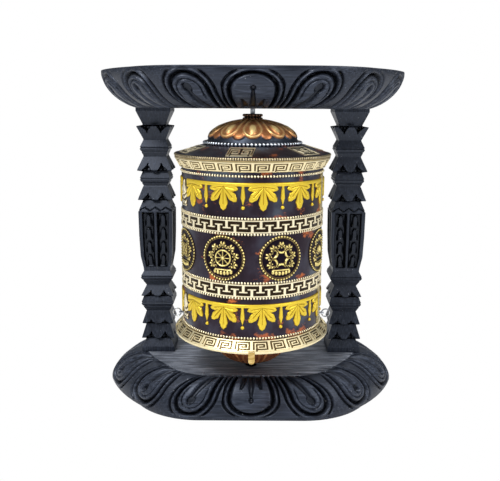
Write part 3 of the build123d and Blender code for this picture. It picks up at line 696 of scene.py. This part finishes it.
def gilt_friezes():
    for level in ("upper", "lower"):
        low, high = node_box(level + "_scrolls")
        height = radius_of(level + "_scrolls") - SHELL
        turn = np.linspace(DIVIDER_ANGLES[0], DIVIDER_ANGLES[0] + 360, 900)[None, :]
        rise = np.linspace(-0.5, high[2] - low[2] + 0.5, 60)[:, None]
        pitch = 360 / MOTIFS
        x = ((turn - MOTIF_FIRST + pitch / 2) % pitch - pitch / 2) * SHELL * pi / 180 + 0 * rise
        depth = palmette(x, rise)
        for angle, width in [(a, DIVIDER_WIDTH) for a in DIVIDER_ANGLES] + [(SEAM_ANGLE, SEAM_WIDTH)]:
            off = np.abs((turn - angle + 180) % 360 - 180) * SHELL * pi / 180
            depth = np.minimum(depth, off - width / 2 - 0.4)
        points, faces, relief = laid_on_skin(depth, np.radians(turn) + 0 * rise,
                                             low[2] + rise + 0 * turn, height)
        make_piece(level + "_frieze", points, faces, "wheel", GILT, (level + "_scrolls",), relief)
        low, high = node_box(level + "_dividers")
        rise = np.linspace(-0.3, high[2] - low[2] + 0.3, 64)[:, None]
        parts = []
        for angle in DIVIDER_ANGLES:
            x = np.linspace(-DIVIDER_WIDTH / 2, DIVIDER_WIDTH / 2, 32)[None, :]
            around = radians(angle) + x / SHELL + 0 * rise
            flame = lotus_flame(x + 0 * rise, rise)
            parts.append(laid_on_skin(flame, around, low[2] + rise + 0 * x, DIVIDER_LIFT))
        points, faces, relief = joined(parts)
        make_piece(level + "_lotus_dividers", points, faces, "wheel", WHITE_GOLD,
                   (level + "_dividers",), relief)


def medallion_lift(x, y, kind):
    """Height of a medallion's pressing, 0 to 1: beaded edge, wreath, lotus foot and a varying middle."""
    rho, phi = np.hypot(x, y), np.arctan2(y, x)
    arc = ((phi / (2 * pi) * 44 + 0.5) % 1 - 0.5) * 2 * pi * 14.0 / 44
    depth = 0.72 - np.hypot(rho - 14.1, arc * 0.92)
    depth = np.maximum(depth, 0.12 - np.abs(rho - 13.0))
    open_side = np.abs((phi + pi / 2 + pi) % (2 * pi) - pi) > 0.62
    leaf = ((phi - pi / 2) / (2 * pi) * 9 + 0.5) % 1 - 0.5
    along = leaf * 2 * pi * rho / 9
    wreath = np.maximum(1.25 - np.hypot(rho - 9.9, along * 0.7),
                        0.7 - np.hypot(rho - 8.4, np.abs(along) - 1.9))
    wreath = np.maximum(wreath, 0.55 - np.hypot(rho - 7.0, along))
    wreath = np.minimum(wreath, np.abs(along) + 0.5 * (9.6 - rho) - 0.1 + 3 * (rho < 9.2))
    wreath = np.maximum(wreath, 0.32 - np.abs(rho - 7.7 - 0.7 * np.cos(leaf * 2 * pi)))
    depth = np.maximum(depth, np.where(open_side, wreath, -1))
    for px in (-5.6, -3.4, -1.15, 1.15, 3.4, 5.6):
        depth = np.maximum(depth, blob(x, y, px, -9.9 + 0.03 * px * px, 1.05, 1.5))
    depth = np.maximum(depth, stroke(x, y, [(-5.6, -7.7, 0.5), (5.6, -7.7, 0.5)]))
    if kind == 0:
        spoke = ((phi / (2 * pi) * 8 + 0.5) % 1 - 0.5) * 2 * pi / 8 * rho
        core = np.maximum(0.62 - np.abs(rho - 5.1), 1.25 - rho)
        core = np.maximum(core, np.where(rho < 5.1, 0.42 - np.abs(spoke), -1))
    elif kind == 1:
        petal = ((phi / (2 * pi) * 6 + 0.5) % 1 - 0.5) * 2 * pi / 6 * rho
        core = np.maximum(1.0 - np.abs(rho - 4.7 + 0.5 * np.abs(petal)), 0.9 - np.hypot(rho - 5.9, petal))
        core = np.minimum(core, np.abs(petal) - 0.2)
    elif kind == 2:
        core = -9 + 0 * x
        for tilt in (-1.1, -0.55, 0.0, 0.55, 1.1):
            cx, cy = 3.4 * sin(tilt), 3.6 * cos(tilt) - 2.6
            u = (x - cx) * cos(tilt) - (y - cy) * sin(tilt)
            v = (x - cx) * sin(tilt) + (y - cy) * cos(tilt)
            core = np.maximum(core, np.minimum(blob(u, v, 0, 0, 1.35, 3.0), np.abs(u) - 0.16))
        core = np.maximum(core, stroke(x, y, [(-4.4, -4.6, 0.5), (4.4, -4.6, 0.5)]))
    else:
        u, v = (x + y) / sqrt(2), (x - y) / sqrt(2)
        lattice = np.maximum(0.42 - np.abs(u % 2.6 - 1.3), 0.42 - np.abs(v % 2.6 - 1.3))
        core = np.minimum(lattice, 5.4 - np.abs(u) - np.abs(v) * 0.999 + 0.2)
        core = np.maximum(core, 0.45 - np.abs(np.abs(u) + np.abs(v) - 6.0))
    depth = np.maximum(depth, core)
    return np.clip(0.35 + depth * 1.1, 0, 1)


def medallions():
    rings, sides = 58, 220
    for number in range(1, MEDALLIONS + 1):
        name = "medallion_%d" % number
        low, high = node_box(name)
        edge = (high[2] - low[2]) / 2
        angle = atan2((low[1] + high[1]) / 2 - AXIS_Y, (low[0] + high[0]) / 2 - AXIS_X)
        rho = np.concatenate([np.linspace(0.02, edge, rings - 2), [edge, 0.02]])[:, None]
        phi = np.linspace(0, 2 * pi, sides, endpoint=False)[None, :]
        x, y = rho * np.cos(phi), rho * np.sin(phi)
        lift = medallion_lift(x, y, number % 4)
        radius = SHELL + 0.15 + (MEDALLION_LIFT - 0.15) * lift
        radius[-2:] = SHELL - 0.2
        points = polar(angle + x / SHELL, radius, (low[2] + high[2]) / 2 + y).reshape(-1, 3)
        lift[-2:] = 0
        faces = grid_faces(rings, sides, wrap_rows=True)[:, ::-1]
        piece = make_piece(name + "_pressed", points, faces, "wheel", MEDALLION_BRASS,
                           (name,), (0.04 + 0.96 * lift).ravel())
        weld(piece)


# ---------------------------------------------------------------- lid and floor
def lotus_dome(foot_radius, height, power, foot_z, up):
    """A raised dome with a ring of petals whose round tips point at its foot."""
    petals, per_petal, rows = 10, 44, 96
    slope = np.linspace(0, pi / 2 - 0.02, rows)
    radius = foot_radius * np.cos(slope) ** (2 / power)
    rise = height * np.sin(slope) ** (2 / power)
    run = np.concatenate([[0], np.cumsum(np.hypot(np.diff(radius), np.diff(rise)))])[:, None]
    radius, rise = radius[:, None], rise[:, None]
    share = ((np.arange(petals * per_petal) / per_petal) % 1 - 0.5)[None, :]
    angle = radians(FRONT) + (np.arange(petals * per_petal) / per_petal - 0.5) * 2 * pi / petals
    pitch = 2 * pi * radius / petals
    wide = 2 * pi * foot_radius / petals * 0.345
    middle = 3.6 + wide

    def petal(x, centre, half):
        reach = np.minimum(half, pitch * 0.45 * half / wide)
        return np.where(run < centre, half - np.hypot(x, run - centre), reach - np.abs(x))

    main = petal(share * pitch, middle, wide)
    behind = petal((np.abs(share) - 0.5) * pitch, 2.2 + wide * 0.7, wide * 0.7)
    bulb = blob(share * pitch, run, 0, middle + 1.6, np.minimum(wide * 0.42, pitch * 0.2).max(), wide * 0.85)
    lift = -0.5 + 0.7 * step(behind, 0.0, 1.2) + 0.35 * step(behind, 1.2, 2.4)
    body = 0.9 * step(main, 0.0, 0.9) - 0.75 * step(main, 1.5, 2.3)
    lift = np.where(main > 0, 0.25 + body + 1.45 * np.sqrt(np.clip(bulb / (wide * 0.42), 0, 1)), lift)
    lift = lift * step(run, 0.2, 2.6) * step(run[-1] - run, 0.5, 6.0)
    tilt = np.gradient(rise[:, 0]), np.gradient(radius[:, 0])
    length = np.hypot(*tilt)
    out, above = (tilt[0] / length)[:, None], (-tilt[1] / length)[:, None]
    outer_r = radius + lift * out
    outer_z = rise + lift * above
    back_r = np.array([[max(radius[-1, 0] - 0.5, 1.7)], [foot_radius - 1.2]]) + 0 * share
    back_z = np.array([[rise[-1, 0] - 0.6], [0.0]]) + 0 * share
    tone = np.where(main > 0, 0.42 + 0.2 * body, 0.10 + 0.3 * step(behind, 0.4, 1.6))
    # Painted highlight: the petal bulbs are lifted towards the pale crest colour.
    tone = tone + 0.55 * step(bulb, 0, wide * 0.3)
    tone = tone * step(run, 1.0, 3.4)
    tone = np.concatenate([tone, 0.1 + 0 * back_r])
    points, faces, relief = closed_ring(np.concatenate([outer_r, back_r]),
                                        foot_z + up * np.concatenate([outer_z, back_z]), tone, angle)
    return points, faces if up > 0 else faces[:, ::-1], relief


def lid_and_floor():
    low, high = node_box("lid_dome")
    points, faces, relief = lotus_dome(radius_of("lid_dome"), high[2] - low[2], 1.95, low[2], 1)
    make_piece("lid_dome_lotus", points, faces, "wheel", LOTUS_COPPER, ("lid_dome",), relief)
    low, high = node_box("floor_dome")
    points, faces, relief = lotus_dome(radius_of("floor_dome"), high[2] - low[2], 2.0, high[2], -1)
    make_piece("floor_dome_lotus", points, faces, "wheel", FLOOR_COPPER, ("floor_dome",), relief)
    low, high = node_box("lid_flange")
    edge = radius_of("lid_flange")
    plate = turned([(edge - 5, low[2]), (edge - 0.9, low[2]), (edge - 0.6, low[2] + 0.5),
                    (edge - 1.0, high[2] - 0.2), (edge - 5, high[2])], [0.1, 0.2, 0.3, 0.3, 0.2])
    points, faces, relief = joined([plate, pearls(edge - 1.15, high[2] - 0.35, 1.15, 2.55)])
    make_piece("lid_flange_beaded", points, faces, "wheel", BLUE_STEEL, ("lid_flange",), relief)
    low, high = node_box("lid_rolled_edge")
    edge = radius_of("lid_rolled_edge")
    middle, thick = (low[2] + high[2]) / 2, (high[2] - low[2]) / 2
    points, faces, relief = pearls(edge - thick, middle, thick, 1.6, waist=0.8)
    make_piece("lid_rolled_edge_rope", points, faces, "wheel", WHITE_GOLD,
               ("lid_rolled_edge",), relief * 0.4 + 0.2)
    low, high = node_box("lid_collar")
    edge = radius_of("lid_collar")
    core = turned([(1.7, low[2]), (edge - 0.9, low[2]), (edge - 1.3, (low[2] + high[2]) / 2),
                   (edge - 0.9, high[2]), (1.7, high[2])], [0.1, 0.3, 0.1, 0.5, 0.3], 120)
    rows = [pearls(edge - 0.95, z, 0.95, 1.95) for z in (low[2] + 0.95, high[2] - 0.95)]
    points, faces, relief = joined([core] + rows)
    make_piece("lid_collar_beaded", points, faces, "wheel", DARK_BRONZE, ("lid_collar",), relief)
    low, high = node_box("floor_collar")
    edge = radius_of("floor_collar")
    core = turned([(1.7, low[2]), (edge - 0.9, low[2]), (edge, (low[2] + high[2]) / 2), (edge - 0.6, high[2]),
                   (1.7, high[2])], [0.1, 0.3, 0.8, 0.3, 0.2], 120)
    make_piece("floor_collar_turned", core[0], core[1], "wheel", DARK_BRONZE,
               ("floor_collar",), core[2])


def lid_fret_patches():
    """Small fret plates laid on the slope of the lid."""
    shoulder_low, shoulder_high = node_box("lid_shoulder")
    flange = radius_of("lid_flange")
    edge = radius_of("lid_shoulder")
    cells = np.array([[c == "#" for c in row[:11] + row[10::-1]] for row in KEY[::-1]], float)
    raised = cells.repeat(2, 0).repeat(2, 1)
    rows, cols = raised.shape
    across = np.linspace(0.12, 0.86, rows)[:, None]
    x = (np.linspace(-8.4, 8.4, cols))[None, :]
    out = edge + (flange - edge) * across
    slope = shoulder_high[2] + (shoulder_low[2] + 0.8 - shoulder_high[2]) * (1 - across)
    parts = []
    for index in range(PATCHES):
        angle = radians(PATCH_FIRST + 360 * index / PATCHES) + x / out
        points = polar(angle, out + 0 * x, slope + 0.12 + 0.4 * raised)
        ring = np.concatenate([points[0], points[1:-1, -1], points[-1][::-1], points[1:-1, 0][::-1]])
        drop = ring - (0, 0, 0.6)
        parts.append((points.reshape(-1, 3), grid_faces(rows, cols, wrap_cols=False), raised.ravel()))
        count = len(ring)
        parts.append((np.concatenate([drop, ring]), grid_faces(2, count), np.full(2 * count, 0.6)))
    points, faces, relief = joined(parts)
    make_piece("lid_fret_patches", points, faces, "wheel", WHITE_GOLD, ("lid_patches",),
               relief, False)


# ---------------------------------------------------------------- posts
# (height, how far the side stands back from the widest square) at each corner of the posts, up from
# the foot, for a post as tall as the last height
POST_CORNERS = (
    (0.0, 0.0), (3.7, 0.25), (9.9, 3.2), (10.9, 0.2), (11.5, 0.2), (21.4, 3.3), (22.5, 0.8),
    (23.0, 0.8), (31.4, 3.6), (31.9, 3.8), (38.7, 0.2), (43.9, 2.2), (44.3, 0.6), (44.9, 0.6),
    (51.7, 4.0), (52.3, 4.2), (59.1, 0.2), (63.6, 2.7), (65.9, 2.5), (75.3, 0.8), (90.9, 0.2),
    (109.2, 0.0), (117.3, 3.3), (117.8, 0.0), (118.3, 0.0), (127.5, 3.5), (128.1, 3.9), (133.1, 1.3),
    (138.5, 3.4), (139.4, 0.0), (140.1, 0.0), (149.5, 4.2), (150.3, 4.2), (155.7, 1.7), (161.5, 4.4),
    (162.2, 4.4), (171.6, 0.0), (172.3, 4.1), (173.0, 4.1), (182.4, 0.0), (184.5, 0.0),
)
# (height of the wide edge, which way the skirt narrows, depth of its notches)
SKIRTS = ((10.9, 1, 4.2), (22.5, 1, 2.2), (44.3, 1, 3.2), (117.8, 1, 4.4), (139.4, 1, 4.6), (171.6, -1, 4.2))
BICONES = (38.7, 59.1, 133.1, 155.7)
BULB = (66.0, 109.2)


def carved_post(width, height):
    """Square post: notched skirts, bicones and a long bulb with a rib and channels of leaf scales."""
    rows, per_side = 620, 30
    z = np.linspace(0, height, rows)[:, None]
    u = np.linspace(-1, 1, per_side, endpoint=False)[None, :]
    level, cut = np.array(POST_CORNERS).T
    side = np.abs(u)

    def half(z):
        return width / 2 - np.interp(z, level * height / level[-1], cut)

    carve = 0 * z + 0 * u
    for edge, way, deep in SKIRTS:
        height_in = way * (z - edge)
        near = (height_in > -0.5) & (height_in < deep + 0.6)
        notch = step(0.30 * (1 - height_in / deep) - np.abs(side - 0.46), 0.0, 0.05)
        carve += 3.1 * near * notch
        carve += 0.7 * near * step(0.07 - np.abs(side - 0.46), 0, 0.05)
    for middle in BICONES:
        carve += 0.8 * groove(z - middle - 0.2, 1.5) + 0.5 * groove(z - middle + 2.6, 1.0)
    low, high = BULB
    bulb = step(z, low, low + 2.0) * (1 - step(z, high - 2.5, high))
    channel = step(side, 0.10, 0.15) * (1 - step(side, 0.74, 0.80))
    rib = groove(side - 0.05, 0.05)
    leaf = ((z - low - 1.0) / 10.3) % 1
    half_leaf = 0.21 * (1 - 0.35 * leaf)
    off = np.abs(side - 0.43)
    tip = step(0.90 - leaf - 1.8 * off ** 2 / half_leaf, 0.0, 0.05)
    scale = tip * step(half_leaf - off, 0.0, 0.05) * (1 - 0.35 * (1 - leaf))
    carve += bulb * (channel * (3.2 - 2.6 * scale) + 0.6 * rib)
    zigzag = np.abs((side * 3) % 2 - 1)
    carve += 1.1 * groove(z - high - 0.6 - 2.4 * zigzag, 1.5)
    face = half(z) - carve
    corner = face[:, :1]
    across = u * corner
    loops = [np.stack([across, -face], -1), np.stack([face, across], -1),
             np.stack([-across, face], -1), np.stack([-face, -across], -1)]
    ring = np.concatenate(loops, 1)
    points = np.concatenate([ring, (z + 0 * ring[..., 0])[..., None]], -1)
    # Painted shade: set-back sections and deeper carving get lower relief values, which the wood material
    # renders darker.
    plain = 0.66 - 0.16 * np.clip((width / 2 - half(z)) / 5, 0, 1)
    relief = np.tile(np.clip(plain - carve * 0.26, 0, 1), (1, 4))
    cols = ring.shape[1]
    faces = [list(f) for f in grid_faces(rows, cols)]
    faces += [list(range(cols))[::-1], list(range((rows - 1) * cols, rows * cols))]
    return points.reshape(-1, 3), faces, relief.ravel()


def posts():
    for name in ("left_post", "right_post"):
        low, high = node_box(name)
        points, faces, relief = carved_post(high[0] - low[0], high[2] - low[2])
        points = points + ((low[0] + high[0]) / 2, (low[1] + high[1]) / 2, low[2])
        make_piece(name + "_carved", points, faces, "stand", POST_WOOD, (name,), relief, False)


boards()
wheel_bands()
gilt_friezes()
medallions()
lid_and_floor()
lid_fret_patches()
posts()

for name, material in (
        ("drum_shell", PATINA), ("drum_floor", PATINA), ("lid_shoulder", PATINA), ("lid_seat_ring", PATINA),
        ("spindle", STEEL), ("base_screws", STEEL), ("top_screws", STEEL), ("base_dowels", BEECH),
        ("top_dowels", BEECH), ("prayer_roll", PAPER), ("roll_threads", THREAD), ("roll_washers", BRASS),
        ("pivot_cup", BRASS), ("top_bush", BRASS), ("left_eye", STEEL), ("right_eye", STEEL),
        ("left_ring", STEEL), ("right_ring", STEEL), ("front_tab", BRASS), ("seam_strips", PALE_STRIP)):
    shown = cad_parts[name]
    shown.data.materials.clear()
    shown.data.materials.append(material)


# ---------------------------------------------------------------- stage
def stage():
    bpy.ops.mesh.primitive_plane_add(size=30, location=(0, 0, 0))
    floor = bpy.context.object
    floor.name = "floor"
    paint, tree, bsdf = new_material("white_floor")
    bsdf.inputs["Base Color"].default_value = (0.9, 0.9, 0.9, 1)
    bsdf.inputs["Roughness"].default_value = 0.9
    seen = node(tree, "ShaderNodeLightPath")
    glow = node(tree, "ShaderNodeEmission", {"Color": (1, 1, 1, 1), "Strength": 1.0})
    cover = node(tree, "ShaderNodeMixShader",
                 links={0: (seen, "Is Camera Ray"), 1: (bsdf, "BSDF"), 2: (glow, "Emission")})
    tree.links.new(cover.outputs[0], tree.nodes["Material Output"].inputs["Surface"])
    floor.data.materials.append(paint)
    world = bpy.data.worlds.new("studio")
    bpy.context.scene.world = world
    world.use_nodes = True
    tree = world.node_tree
    background = tree.nodes["Background"]
    path = node(tree, "ShaderNodeLightPath")
    place = node(tree, "ShaderNodeTexCoord")
    height = node(tree, "ShaderNodeSeparateXYZ", links={"Vector": (place, "Generated")})
    sky = ramp(tree, height, "Z", [(0.0, "505458"), (0.5, "9a9ea4"), (0.62, "e8e8e8"), (0.95, "ffffff")])
    white = node(tree, "ShaderNodeMix", {"data_type": "RGBA", "B": (1, 1, 1, 1)},
                 {"A": (sky, "Color"), "Factor": (path, "Is Camera Ray")})
    tree.links.new(socket(white.outputs, "Result"), background.inputs["Color"])
    for name, place, size, power in (("key", (-0.6, -0.8, 1.2), 0.5, 17.0),
                                     ("fill", (0.9, -0.6, 0.7), 0.6, 6.0)):
        lamp = bpy.data.lights.new(name, "AREA")
        lamp.size = size
        lamp.energy = power
        holder = bpy.data.objects.new(name, lamp)
        bpy.context.scene.collection.objects.link(holder)
        holder.location = place
        aim = Vector((0, 0, 0.12)) - Vector(place)
        holder.rotation_euler = aim.to_track_quat("-Z", "Y").to_euler()
    lens = bpy.data.cameras.new("camera")
    lens.sensor_width = 36.0
    lens.lens = 47.45
    camera = bpy.data.objects.new("camera", lens)
    bpy.context.scene.collection.objects.link(camera)
    camera.location = (-0.0019, -0.4945, 0.2124)
    camera.rotation_euler = (radians(90 - CAMERA_PITCH), radians(CAMERA_ROLL), 0)
    lens.clip_start = 0.01
    bpy.context.scene.camera = camera
    bpy.context.scene.view_settings.view_transform = "Standard"


stage()
